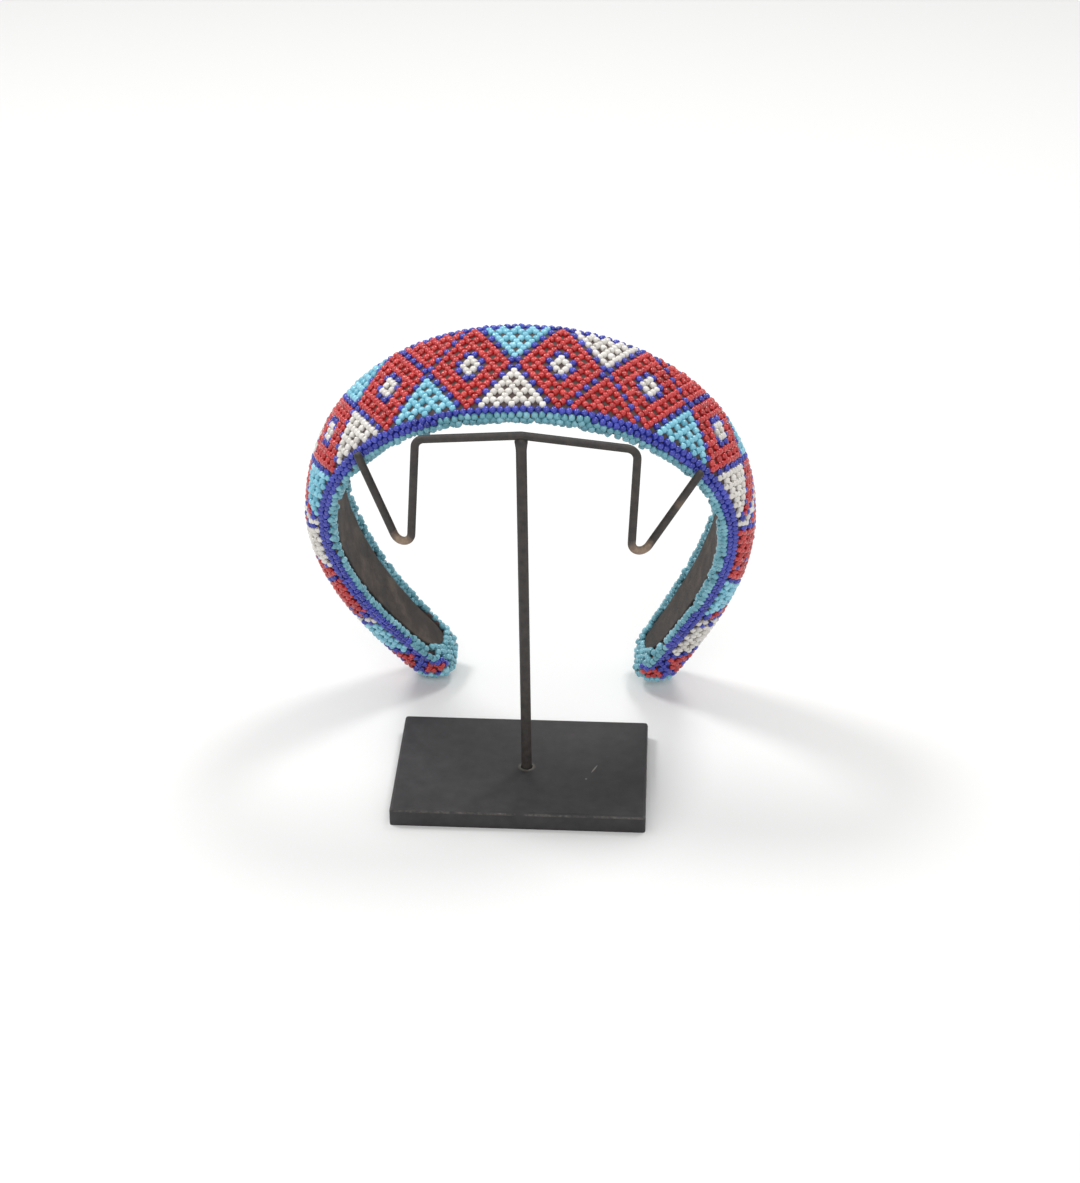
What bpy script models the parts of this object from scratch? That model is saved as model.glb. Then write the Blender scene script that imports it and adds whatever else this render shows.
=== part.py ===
"""A padded beaded headband that stands on its two ends behind a bent wire display stand and
leans forward on the tips of the wire. All sizes are in millimetres until they are placed."""
import math

import bmesh
import bpy
import numpy as np
from mathutils import Vector

MM = 0.001

# Display stand: a flat plate, a post in a blind hole, and a wire yoke on top of the post.
PLATE_WIDTH, PLATE_DEPTH, PLATE_THICK, PLATE_BEVEL = 85.0, 56.0, 6.4, 1.0
POST_RADIUS, WIRE_RADIUS = 1.75, 1.35
POST_FOOT, POST_TOP = (1.7, -0.9, 2.7), (0.2, 0.0, 131.4)
HOLE_RADIUS, HOLE_FLOOR = 2.05, 2.4
BAR_PEAK = (0.2, 0.0, 132.0)
# Corners of one wire, from the left tip over the post to the right tip, and their bend radii.
YOKE_CORNERS = (
    ((-53.0, 8.2, 120.2), 0.0),
    ((-36.0, -0.6, 83.2), 3.4),
    ((-33.2, 0.0, 129.8), 3.0),
    (BAR_PEAK, 6.0),
    ((36.9, 0.0, 128.0), 3.6),
    ((35.2, -0.6, 83.9), 3.4),
    ((57.4, 9.7, 115.9), 0.0),
)

# Headband: the hoop's inner line in its own leaning plane (across, up), left end to right end.
HOOP_ACROSS = (-27.5, -52.6, -63.4, -40.9, 4.8, 47.8, 64.5, 55.2, 36.9)
HOOP_UP = (6.85, 46.4, 94.6, 133.5, 145.9, 128.0, 90.4, 46.9, 6.85)
LEAN_DEG = 17.0
FOOT_Y = 66.6
END_TRIM = -1.2
# Half width, shift towards the front, height of the padding over the lining, and radius of the
# edging, end to end.
HALF_WIDTH = (9.2, 17.0, 21.3, 17.0, 9.2)
SIDE_SHIFT = (-1.6, 0.0, 0.0, 0.0, -1.6)
RISE = (15.2, 11.6, 7.3, 12.0, 15.2)
# Power of the section's curve, end to end: 1 is an ellipse, less is boxier.
SQUARENESS = (0.5, 0.78, 0.8, 0.78, 0.5)
EDGING_RADIUS = (2.1, 2.3, 2.1, 2.3, 2.1)
EDGING_PROUD = 0.9
NET_WALL = 1.9
LINING_THICK = 1.0
GAP = 0.3
END_ROUND = 6.0
END_NARROW = 0.85
STEP = 8.6

COLOURS = {
    "beaded_cover": (0.62, 0.05, 0.05),
    "beaded_edging": (0.26, 0.62, 0.68),
    "padded_core": (0.72, 0.70, 0.64),
    "lining": (0.09, 0.075, 0.07),
    "stand_plate": (0.045, 0.045, 0.048),
    "stand_wire": (0.045, 0.042, 0.042),
}


def spline(values, t):
    """Natural cubic through evenly spaced values, read at t from 0 to 1."""
    y = np.asarray(values, float)
    n = len(y)
    rows, right = np.eye(n), np.zeros(n)
    for i in range(1, n - 1):
        rows[i, i - 1:i + 2] = 1, 4, 1
        right[i] = 6 * (y[i + 1] - 2 * y[i] + y[i - 1])
    bend = np.linalg.solve(rows, right)
    x = np.clip(np.asarray(t, float), 0, 1) * (n - 1)
    i = np.minimum(x.astype(int), n - 2)
    f = x - i
    g = 1 - f
    return y[i] * g + y[i + 1] * f + ((g**3 - g) * bend[i] + (f**3 - f) * bend[i + 1]) / 6


FINE = np.linspace(0, 1, 2001)
PATH = np.stack([spline(HOOP_ACROSS, FINE), spline(HOOP_UP, FINE)], 1)
ALONG = np.r_[0, np.cumsum(np.linalg.norm(np.diff(PATH, axis=0), axis=1))]
START, STOP = END_TRIM, ALONG[-1] - END_TRIM
SLOPE = np.gradient(PATH, axis=0)
SLOPE /= np.linalg.norm(SLOPE, axis=1)[:, None]


def at(table, s):
    return spline(table, np.asarray(s, float) / ALONG[-1])


def placed(s, w, n):
    """World point for the length s along the hoop, w towards the front and n outwards."""
    s, w, n = (np.asarray(a, float) for a in np.broadcast_arrays(s, w, n))
    inside = np.clip(s, START, STOP)
    over = s - inside
    slope = np.stack([np.interp(inside, ALONG, SLOPE[:, k]) for k in (0, 1)], -1)
    across = np.interp(inside, ALONG, PATH[:, 0]) + over * slope[..., 0] - n * slope[..., 1]
    up = np.interp(inside, ALONG, PATH[:, 1]) + over * slope[..., 1] + n * slope[..., 0]
    w = w + at(SIDE_SHIFT, inside)
    lean = math.radians(LEAN_DEG)
    y = FOOT_Y - up * math.sin(lean) - w * math.cos(lean)
    return np.stack([across, y, up * math.cos(lean) - w * math.sin(lean)], -1)


def stations(inset):
    """Lengths along the hoop, closer together in the rounded ends."""
    first, last = START + inset, STOP - inset
    near = [0.0, 0.05, 0.7, 2.0, 4.0, END_ROUND]
    count = round((last - first - 2 * END_ROUND) / STEP)
    middle = np.linspace(first + END_ROUND, last - END_ROUND, count + 1)
    return np.r_[[first + d for d in near[:-1]], middle, [last - d for d in near[:-1][::-1]]]


def taper(s, inset):
    """0 at a rounded end, 1 past it."""
    d = np.minimum(s - START - inset, STOP - inset - s) / END_ROUND
    return np.sqrt(1 - (1 - np.clip(d, 0, 1)) ** 2)


def edge_height(s):
    """Height at which the padding starts, just clear of the edging."""
    return 2 * at(EDGING_RADIUS, s) - EDGING_PROUD + 2.5 * GAP


def dome(s, inset, turns):
    """(w, n) across the padding at each s, from the front edge over to the back edge."""
    f = taper(s, inset)[:, None]
    half = (at(HALF_WIDTH, s)[:, None] - 1.4 * inset) * (END_NARROW + (1 - END_NARROW) * f)
    base = edge_height(s)[:, None]
    high = (at(RISE, s)[:, None] - inset - base) * f
    a = np.linspace(0, math.pi, turns + 1)
    a = np.r_[0, 0.07, a[1:-1], math.pi - 0.07, math.pi][None, :]
    c = np.cos(a)
    power = at(SQUARENESS, s)[:, None]
    return np.sign(c) * np.abs(c) ** power * half, base + high * np.sin(a)


def material(name):
    m = bpy.data.materials.new(name)
    m.use_nodes = True
    shader = m.node_tree.nodes["Principled BSDF"]
    shader.inputs["Base Color"].default_value = (*COLOURS[name], 1)
    shader.inputs["Roughness"].default_value = 0.5
    m.diffuse_color = (*COLOURS[name], 1)
    return m


def add(name, mesh, into, smooth=True):
    obj = bpy.data.objects.new(name, mesh)
    into.objects.link(obj)
    if name in COLOURS:
        mesh.materials.clear()
        mesh.materials.append(material(name))
    for face in mesh.polygons:
        face.use_smooth = smooth
    return obj


def applied(obj):
    """The object with its modifiers made part of its mesh."""
    bpy.context.view_layer.update()
    graph = bpy.context.evaluated_depsgraph_get()
    mesh = bpy.data.meshes.new_from_object(obj.evaluated_get(graph), depsgraph=graph)
    obj.modifiers.clear()
    obj.data = mesh
    return obj


def grid_mesh(name, points, closed):
    """A mesh over rows of world points in millimetres. Closed rows make tubes with end caps."""
    rows, columns = points.shape[:2]
    bm = bmesh.new()
    v = [[bm.verts.new(Vector(p) * MM) for p in row] for row in points]
    for i in range(rows - 1):
        for j in range(columns if closed else columns - 1):
            k = (j + 1) % columns
            bm.faces.new((v[i][j], v[i + 1][j], v[i + 1][k], v[i][k]))
    if closed:
        bm.faces.new(v[0])
        bm.faces.new(v[-1][::-1])
    bmesh.ops.recalc_face_normals(bm, faces=bm.faces)
    mesh = bpy.data.meshes.new(name)
    bm.to_mesh(mesh)
    bm.free()
    return mesh


def outward(mesh):
    """Turns an open dome's faces away from the hoop's middle."""
    middle = placed(ALONG[-1] / 2, 0, -60) * MM
    bm = bmesh.new()
    bm.from_mesh(mesh)
    face = max(bm.faces, key=lambda f: f.calc_center_median().z)
    if face.normal.dot(face.calc_center_median() - Vector(middle)) < 0:
        bmesh.ops.reverse_faces(bm, faces=bm.faces)
    bm.to_mesh(mesh)
    bm.free()


def beaded_cover(into):
    s = stations(0.0)
    w, n = dome(s, 0.0, 14)
    mesh = grid_mesh("beaded_cover", placed(s[:, None], w, n), False)
    outward(mesh)
    obj = add("beaded_cover", mesh, into)
    wall = obj.modifiers.new("wall", "SOLIDIFY")
    wall.thickness, wall.offset, wall.use_even_offset = NET_WALL * MM, -1.0, False
    return applied(obj)


def padded_core(into):
    inset = NET_WALL + 1.1
    s = stations(inset)[1:-1]
    w, n = dome(s, inset, 12)
    foot = (at(HALF_WIDTH, s) - 2 * at(EDGING_RADIUS, s) - 0.1)[:, None]
    foot = np.minimum(foot, w[:, :1] - 0.2)
    low = np.full_like(foot, LINING_THICK + GAP)
    base = edge_height(s)[:, None]
    w = np.hstack([foot, foot, w, -foot, -foot])
    n = np.hstack([low, base, n, base, low])
    keep = slice(3, -3)
    mesh = grid_mesh("padded_core", placed(s[keep, None], w[keep], n[keep]), True)
    return add("padded_core", mesh, into)


def lining(into):
    """A flat felt strip between the two runs of edging."""
    inset = 2 * EDGING_RADIUS[0] + 0.4
    s = stations(inset)
    f = taper(s, inset)
    half = (at(HALF_WIDTH, s) - 2 * at(EDGING_RADIUS, s) - 0.1) * (0.45 + 0.55 * f)
    across = half[:, None] * np.array([1, 0.5, 0, -0.5, -1, -1, -0.5, 0, 0.5, 1])[None, :]
    depth = np.array([0] * 5 + [LINING_THICK] * 5)[None, :] + 0 * across
    return add("lining", grid_mesh("lining", placed(s[:, None], across, depth), True), into)


def loop_line():
    """The edging's centre line, once round the rim, as (s, w, normal in s, normal in w)."""
    side = stations(0.0)[5:-5]
    radius = EDGING_RADIUS[0]
    half_end = HALF_WIDTH[0] + 0.2 - radius
    out = []
    for s in side:
        out.append((s, at(HALF_WIDTH, s) + 0.2 - at(EDGING_RADIUS, s), 0.0, 1.0))
    line = np.array(out, float)
    tip = STOP - radius
    corner = min(half_end, END_ROUND - radius) - 0.2
    a = np.linspace(0, math.pi / 2, 5)[1:]
    rest = [(tip - corner + corner * math.sin(x), half_end - corner + corner * math.cos(x),
             math.sin(x), math.cos(x)) for x in a]
    rest += [(tip, 0.0, 1.0, 0.0)]
    rest += [(s, -w, ds, -dw) for s, w, ds, dw in rest[-2::-1]]
    back = line[::-1] * [1, -1, 1, -1]
    end = [(START + STOP - s, -w, -ds, -dw) for s, w, ds, dw in rest]
    return np.vstack([line, rest, back, end])


def beaded_edging(into):
    """A roll round the whole rim, as one ring of round sections."""
    line = loop_line()
    a = np.linspace(0, 2 * math.pi, 12, endpoint=False)[None, :]
    r = at(EDGING_RADIUS, line[:, 0])[:, None]
    s = line[:, 0:1] + r * np.cos(a) * line[:, 2:3]
    w = line[:, 1:2] + r * np.cos(a) * line[:, 3:4]
    n = (r - EDGING_PROUD) + r * np.sin(a)
    points = placed(s, w, n)
    rows, columns = points.shape[:2]
    bm = bmesh.new()
    v = [[bm.verts.new(Vector(p) * MM) for p in row] for row in points]
    for i in range(rows):
        for j in range(columns):
            k, m = (j + 1) % columns, (i + 1) % rows
            bm.faces.new((v[i][j], v[m][j], v[m][k], v[i][k]))
    bmesh.ops.recalc_face_normals(bm, faces=bm.faces)
    mesh = bpy.data.meshes.new("beaded_edging")
    bm.to_mesh(mesh)
    bm.free()
    return add("beaded_edging", mesh, into)


def stand_plate(into, cutters):
    bm = bmesh.new()
    bmesh.ops.create_cube(bm, size=1.0)
    bmesh.ops.scale(bm, vec=(PLATE_WIDTH * MM, PLATE_DEPTH * MM, PLATE_THICK * MM), verts=bm.verts)
    bmesh.ops.translate(bm, vec=(0, 0, PLATE_THICK / 2 * MM), verts=bm.verts)
    edges = [e for e in bm.edges if sum(v.co.z for v in e.verts) > PLATE_THICK * MM * 0.9]
    bmesh.ops.bevel(bm, geom=edges, offset=PLATE_BEVEL * MM, segments=2, profile=0.5, affect="EDGES")
    mesh = bpy.data.meshes.new("stand_plate")
    bm.to_mesh(mesh)
    bm.free()
    obj = add("stand_plate", mesh, into, smooth=False)
    bm = bmesh.new()
    bmesh.ops.create_cone(bm, cap_ends=True, segments=20, radius1=HOLE_RADIUS * MM,
                          radius2=HOLE_RADIUS * MM, depth=20 * MM)
    bmesh.ops.translate(bm, vec=(POST_FOOT[0] * MM, POST_FOOT[1] * MM, (HOLE_FLOOR + 10) * MM),
                        verts=bm.verts)
    mesh = bpy.data.meshes.new("post_hole")
    bm.to_mesh(mesh)
    bm.free()
    hole = add("post_hole", mesh, cutters)
    hole.hide_render = True
    cut = obj.modifiers.new("hole", "BOOLEAN")
    cut.operation, cut.solver, cut.object = "DIFFERENCE", "EXACT", hole
    return applied(obj)


def rounded(corners):
    """Points along straight runs whose corners are turned into arcs of the given radii."""
    spots = [Vector(p) for p, _ in corners]
    line = [spots[0]]
    for i in range(1, len(spots) - 1):
        radius = corners[i][1]
        before, after = (spots[i - 1] - spots[i]).normalized(), (spots[i + 1] - spots[i]).normalized()
        half = before.angle(after) / 2
        centre = spots[i] + (before + after).normalized() * (radius / math.sin(half))
        first = spots[i] + before * (radius / math.tan(half)) - centre
        last = spots[i] + after * (radius / math.tan(half)) - centre
        sweep = first.angle(last)
        steps = max(2, round(math.degrees(sweep) / 18))
        for k in range(steps + 1):
            f = k / steps
            a, b = math.sin((1 - f) * sweep), math.sin(f * sweep)
            line.append(centre + (first * a + last * b) / math.sin(sweep))
    return line + [spots[-1]]


def wire_mesh(name, line, radius):
    curve = bpy.data.curves.new(name, "CURVE")
    curve.dimensions = "3D"
    curve.bevel_depth, curve.bevel_resolution, curve.use_fill_caps = radius * MM, 2, True
    run = curve.splines.new("POLY")
    run.points.add(len(line) - 1)
    for point, spot in zip(run.points, line):
        point.co = (*(Vector(spot) * MM), 1)
    helper = bpy.data.objects.new(name, curve)
    bpy.context.scene.collection.objects.link(helper)
    bpy.context.view_layer.update()
    mesh = bpy.data.meshes.new_from_object(
        helper.evaluated_get(bpy.context.evaluated_depsgraph_get()))
    bpy.data.objects.remove(helper)
    bm = bmesh.new()
    bm.from_mesh(mesh)
    bmesh.ops.remove_doubles(bm, verts=bm.verts, dist=1e-6)
    bmesh.ops.recalc_face_normals(bm, faces=bm.faces)
    bm.to_mesh(mesh)
    bm.free()
    return mesh


def stand_wire(into, cutters):
    """Post and yoke, welded into one piece."""
    obj = add("stand_wire", wire_mesh("stand_wire", rounded(YOKE_CORNERS), WIRE_RADIUS), into)
    post = add("post", wire_mesh("post", [Vector(POST_FOOT), Vector(POST_TOP)], POST_RADIUS), cutters)
    post.hide_render = True
    weld = obj.modifiers.new("weld", "BOOLEAN")
    weld.operation, weld.solver, weld.object = "UNION", "EXACT", post
    return applied(obj)


def main():
    for obj in list(bpy.data.objects):
        bpy.data.objects.remove(obj, do_unlink=True)
    into = bpy.data.collections.new("beaded_headband_on_stand")
    cutters = bpy.data.collections.new("cutters")
    for collection in (into, cutters):
        bpy.context.scene.collection.children.link(collection)
    band = [make(into) for make in (beaded_cover, padded_core, lining, beaded_edging)]
    low = min(v.co.z for obj in band for v in obj.data.vertices)
    for obj in band:
        for v in obj.data.vertices:
            v.co.z -= low
    print("lift", round(-low / MM, 2), "length", round(ALONG[-1], 1))
    stand_plate(into, cutters)
    stand_wire(into, cutters)


main()
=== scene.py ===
import math

import bmesh
import bpy
import numpy as np
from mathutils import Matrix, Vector


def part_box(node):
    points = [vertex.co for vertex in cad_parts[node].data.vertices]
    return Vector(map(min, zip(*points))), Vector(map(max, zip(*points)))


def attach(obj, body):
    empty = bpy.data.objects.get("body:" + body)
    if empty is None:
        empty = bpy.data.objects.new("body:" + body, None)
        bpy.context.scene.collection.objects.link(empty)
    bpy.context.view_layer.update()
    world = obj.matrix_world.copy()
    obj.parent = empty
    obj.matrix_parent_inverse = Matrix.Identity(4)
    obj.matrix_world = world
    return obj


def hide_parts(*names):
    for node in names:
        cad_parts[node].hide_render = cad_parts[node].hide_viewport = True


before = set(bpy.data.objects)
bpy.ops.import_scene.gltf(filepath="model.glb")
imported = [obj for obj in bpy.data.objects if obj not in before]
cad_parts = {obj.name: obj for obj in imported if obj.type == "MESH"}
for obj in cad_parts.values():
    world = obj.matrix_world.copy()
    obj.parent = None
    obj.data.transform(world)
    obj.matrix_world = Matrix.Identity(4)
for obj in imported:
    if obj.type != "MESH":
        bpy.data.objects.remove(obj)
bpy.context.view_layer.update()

MM = 0.001
RANDOM = np.random.default_rng(11)

# ---- the hoop, with the values that its solids have -------------------------------------------
# Its line from the left end over the crown to the right end, in the hoop's own plane.
HOOP_ACROSS = (-27.5, -52.6, -63.4, -40.9, 4.8, 47.8, 64.5, 55.2, 36.9)
HOOP_UP = (6.85, 46.4, 94.6, 133.5, 145.9, 128.0, 90.4, 46.9, 6.85)
LEAN = math.radians(17.0)  # of that plane, towards the front
FOOT_Y = 66.6  # where the plane meets the table
END_TRIM = -1.2  # cut off each end of the line; below zero it adds to them
# Values at five even stations, from the left end to the right end.
HALF_WIDTH = (9.2, 17.0, 21.3, 17.0, 9.2)
SIDE_SHIFT = (-1.6, 0.0, 0.0, 0.0, -1.6)  # of the section's middle, towards the front
RISE = (15.2, 11.6, 7.3, 12.0, 15.2)  # of the net's outside over the line
SQUARENESS = (0.5, 0.78, 0.8, 0.78, 0.5)  # power of the section's cosine, boxier when small
EDGING_RADIUS = (2.1, 2.3, 2.1, 2.3, 2.1)
EDGING_PROUD = 0.9  # how far the edging stands in past the line
EDGING_OUT = 0.2  # and out past the half width
RIM_ABOVE = 0.75  # from the edging's top up to the padding's rim
INSET_ACROSS = 1.4  # how much more an inner layer is set in across than up
SIDE_TURN = 0.07  # first step of the section's angle, which keeps its sides upright
LINING_THICK = 1.0
END_ROUND, END_NARROW = 6.0, 0.85  # length of a rounded end, and the share of width at its tip

# ---- the stand's post and wire, likewise -----------------------------------------------------
POST_RADIUS, WIRE_RADIUS = 1.75, 1.35
POST_FOOT, POST_TOP = (1.7, -0.9, 2.7), (0.2, 0.0, 131.4)
# Corners of the wire, from the left tip over the post to the right tip, and their bend radii.
YOKE_CORNERS = (
    ((-53.0, 8.2, 120.2), 0.0),
    ((-36.0, -0.6, 83.2), 3.4),
    ((-33.2, 0.0, 129.8), 3.0),
    ((0.2, 0.0, 132.0), 6.0),
    ((36.9, 0.0, 128.0), 3.6),
    ((35.2, -0.6, 83.9), 3.4),
    ((57.4, 9.7, 115.9), 0.0),
)


def bent_wire():
    """The wire's centre line, and the middle of each of its bends."""
    spots = [np.array(p) for p, _ in YOKE_CORNERS]
    line, middles = [spots[0]], []
    for k in range(1, len(spots) - 1):
        radius = YOKE_CORNERS[k][1]
        before, after = ((spots[m] - spots[k]) / np.linalg.norm(spots[m] - spots[k])
                         for m in (k - 1, k + 1))
        inwards = (before + after) / np.linalg.norm(before + after)
        half = math.acos(float(before @ inwards))
        centre = spots[k] + inwards * radius / math.sin(half)
        first, last = (centre - spots[k] - side * radius / math.tan(half)
                       for side in (before, after))
        sweep = math.pi - 2 * half
        turn = np.linspace(0, 1, max(4, round(math.degrees(sweep) / 6)))[:, None]
        weights = np.sin((1 - turn) * sweep), np.sin(turn * sweep)
        line.extend(centre - (first * weights[0] + last * weights[1]) / math.sin(sweep))
        middles.append(centre - inwards * radius)
    return np.array([*line, spots[-1]]), middles


WIRE_LINE, BENDS = bent_wire()


def spline(values, t):
    """Natural cubic through evenly spaced values, read at t from 0 to 1."""
    y = np.asarray(values, float)
    n = len(y)
    rows, right = np.eye(n), np.zeros(n)
    for i in range(1, n - 1):
        rows[i, i - 1:i + 2] = 1, 4, 1
        right[i] = 6 * (y[i + 1] - 2 * y[i] + y[i - 1])
    bend = np.linalg.solve(rows, right)
    x = np.clip(np.asarray(t, float), 0, 1) * (n - 1)
    i = np.minimum(x.astype(int), n - 2)
    f = x - i
    g = 1 - f
    return y[i] * g + y[i + 1] * f + ((g**3 - g) * bend[i] + (f**3 - f) * bend[i + 1]) / 6


FINE = np.linspace(0, 1, 2001)
PATH = np.stack([spline(HOOP_ACROSS, FINE), spline(HOOP_UP, FINE)], 1)
ALONG = np.r_[0, np.cumsum(np.linalg.norm(np.diff(PATH, axis=0), axis=1))]
START, STOP = END_TRIM, ALONG[-1] - END_TRIM
SLOPE = np.gradient(PATH, axis=0)
SLOPE /= np.linalg.norm(SLOPE, axis=1)[:, None]


def at(table, s):
    """A table's value at the length s along the hoop."""
    return spline(table, np.asarray(s, float) / ALONG[-1])


def leaning(s, w, n):
    """World point in millimetres, before the hoop is lifted on to its ends."""
    s, w, n = (np.asarray(a, float) for a in np.broadcast_arrays(s, w, n))
    inside = np.clip(s, START, STOP)
    over = s - inside
    slope = np.stack([np.interp(inside, ALONG, SLOPE[:, k]) for k in (0, 1)], -1)
    across = np.interp(inside, ALONG, PATH[:, 0]) + over * slope[..., 0] - n * slope[..., 1]
    up = np.interp(inside, ALONG, PATH[:, 1]) + over * slope[..., 1] + n * slope[..., 0]
    w = w + at(SIDE_SHIFT, inside)
    y = FOOT_Y - up * math.sin(LEAN) - w * math.cos(LEAN)
    return np.stack([across, y, up * math.cos(LEAN) - w * math.sin(LEAN)], -1)


def taper(s, inset):
    """0 at a rounded end, 1 past it."""
    d = np.minimum(s - START - inset, STOP - inset - s) / END_ROUND
    return np.sqrt(1 - (1 - np.clip(d, 0, 1)) ** 2)


def edge_height(s):
    """Height of the padding's rim, just over the edging."""
    return 2 * at(EDGING_RADIUS, s) - EDGING_PROUD + RIM_ABOVE


def edging_line(s):
    """How far from the section's middle the edging's centre line runs."""
    return at(HALF_WIDTH, s) + EDGING_OUT - at(EDGING_RADIUS, s)


def dome(s, inset, turns):
    """(w, n) across the padding at each s, from the front edge over to the back edge."""
    f = taper(s, inset)[:, None]
    half = at(HALF_WIDTH, s)[:, None] - INSET_ACROSS * inset
    half = half * (END_NARROW + (1 - END_NARROW) * f)
    base = edge_height(s)[:, None]
    high = (at(RISE, s)[:, None] - inset - base) * f
    a = np.linspace(0, math.pi, turns + 1)
    a = np.r_[0, SIDE_TURN, a[1:-1], math.pi - SIDE_TURN, math.pi][None, :]
    c = np.cos(a)
    power = at(SQUARENESS, s)[:, None]
    return np.sign(c) * np.abs(c) ** power * half, base + high * np.sin(a)


EDGE = np.linspace(START, STOP, 400)
LOWEST = leaning(EDGE[:, None], *dome(EDGE, 0.0, 14))[..., 2].min()
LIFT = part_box("beaded_cover")[0][2] / MM - LOWEST


def placed(s, w, n):
    """World point in millimetres."""
    return leaning(s, w, n) + (0.0, 0.0, LIFT)


# ---- the net ---------------------------------------------------------------------------------
# Three-bead netting: cells like a diamond trellis, a shared bead at each corner and one bead on
# each side. Columns i are half a cell apart along the crest, counted from the middle crossing,
# and rows j half a cell apart across it, the front negative. A cell is open where i + j is even.
BEAD = 2.42  # across a size 10 seed bead
BEAD_LONG = 2.05  # along its hole
FIRST_LINE, SECOND_LINE = 42, 66  # columns of the transverse lines
UPPER_ROWS, LOWER_ROWS = 5.5, 4.5  # rows from the middle to the border line
# Where columns lie along the hoop, and how far the border lines keep inside the padding's rim.
MARKED_COLUMNS = (-SECOND_LINE, -FIRST_LINE, 0, FIRST_LINE, SECOND_LINE)
MARKED_S = (43.3, 95.3, 183.8, 275.4, 326.8)
BORDER_COLUMNS = (-84, -66, -50, -36, -24, -12, 0, 12, 24, 36, 50, 66, 84)
FRONT_BORDER = (-1.8, -0.9, -0.3, 0.1, 0.8, 0.9, 0.6, 1.8, 1.1, 1.0, 0.5, -0.4, -1.6)
BACK_BORDER = (0.8, 0.8, 0.8, 0.6, 0.5, 0.4, 0.3, 0.4, 0.5, 0.6, 0.8, 0.8, 0.8)
ROW_APART = 1.75  # between the closed-up rows of the borders and the edging
RIM_OFFSET = 0.45  # of the padding's rim from the edging's centre line
ROLL_DROP = 3.1  # length from that rim to the edging's outermost line
ROLL_REACH = 6.4  # length from that rim to the last row
ARC_STEPS = 40  # in a section whose length is measured
END_MARGIN = 0.6  # of the crest, kept free of columns at either end

RUN = np.linspace(START, STOP, 3000)
crest_w, crest_n = dome(RUN, BEAD / 2, 2)
crest = placed(RUN, crest_w[:, 2], crest_n[:, 2])
CREST = np.r_[0, np.cumsum(np.linalg.norm(np.diff(crest, axis=0), axis=1))]
MARKED_CREST = np.interp(MARKED_S, RUN, CREST)
HALF_CELL = (MARKED_CREST[3] - MARKED_CREST[1]) / (2 * FIRST_LINE)


def column_crest(i):
    """Length along the crest at column i."""
    past = i - np.clip(i, -SECOND_LINE, SECOND_LINE)
    return np.interp(i, MARKED_COLUMNS, MARKED_CREST) + past * HALF_CELL


def roll_point(s, past):
    """(offset from the edging's centre line, n) for the length past the padding's rim."""
    radius = at(EDGING_RADIUS, s)
    turn = radius - BEAD / 2
    beside = past < ROLL_DROP
    down = np.clip(past / ROLL_DROP, -0.2, 1)
    angle = np.clip((past - ROLL_DROP) / turn, 0, math.pi)
    offset = np.where(beside, RIM_OFFSET + (turn - RIM_OFFSET) * down, turn * np.cos(angle))
    height = edge_height(s) + (radius - EDGING_PROUD - edge_height(s)) * down
    return offset, np.where(beside, height, radius - EDGING_PROUD - turn * np.sin(angle))


def net_point(u, v):
    """World points for u along the crest and v across: v is a share of the half arc, -1 at the
    front rim and 1 at the back rim, and beyond them a length in millimetres past the rim."""
    u, v = np.broadcast_arrays(np.asarray(u, float), np.asarray(v, float))
    s = np.interp(u, CREST, RUN)
    w, n = dome(s, BEAD / 2, ARC_STEPS)
    arc = np.cumsum(np.hypot(np.diff(w), np.diff(n)), axis=1)
    arc = np.hstack([np.zeros((len(s), 1)), arc])
    out_w, out_n = np.empty(len(s)), np.empty(len(s))
    past = np.abs(v) - 1
    for k in range(len(s)):
        here = arc[k, -1] * (np.clip(v[k], -1, 1) + 1) / 2
        out_w[k], out_n[k] = np.interp(here, arc[k], w[k]), np.interp(here, arc[k], n[k])
    offset, height = roll_point(s, past)
    outside = past > 0
    out_w = np.where(outside, -np.sign(v) * (edging_line(s) + offset), out_w)
    return placed(s, out_w, np.where(outside, height, out_n))


def half_arc(u):
    """Length from the crest to a rim, at u along the crest."""
    s = np.interp(u, CREST, RUN)
    w, n = dome(s, BEAD / 2, ARC_STEPS)
    return np.hypot(np.diff(w), np.diff(n)).sum(1) / 2


RED, BLUE, TURQUOISE, WHITE, EDGING = "red", "blue", "turquoise", "white", "edging"
REPEAT = 12  # columns from one crossing to the next
# Colour of the triangle at each crossing: front edge, back edge.
TRIANGLES = {
    -5: (RED, TURQUOISE), -4: (WHITE, RED), -3: (TURQUOISE, WHITE), -2: (WHITE, TURQUOISE),
    -1: (TURQUOISE, RED), 0: (WHITE, TURQUOISE), 1: (RED, WHITE), 2: (TURQUOISE, RED),
    3: (WHITE, TURQUOISE), 4: (RED, WHITE), 5: (TURQUOISE, RED),
}
DIAMOND, SMALL_DIAMOND = 6, 5  # steps from a diamond's centre to its blue outline
LAST_DIAMOND, SPOT = 78, (82, 4)  # low down: a smaller diamond, and a red cell beside it
SPOT_REACH = 2  # steps from that cell's middle to its blue ring
FILL_ROW = 2.6  # between the two, the rows past this one are blue
LAST_BLUE = 84  # the border lines stop at this column, just short of the tips
# Between these columns the border is two beads wide, elsewhere one.
DOUBLE_FROM, DOUBLE_TO = 10, 74


def spot_colour(i, j):
    """Colour of a bead in the small cell near each tip, or None outside it."""
    far = abs(abs(i) - SPOT[0]) + abs(abs(j) - SPOT[1])
    if far > SPOT_REACH:
        return None
    return RED if far < SPOT_REACH else BLUE


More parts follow.
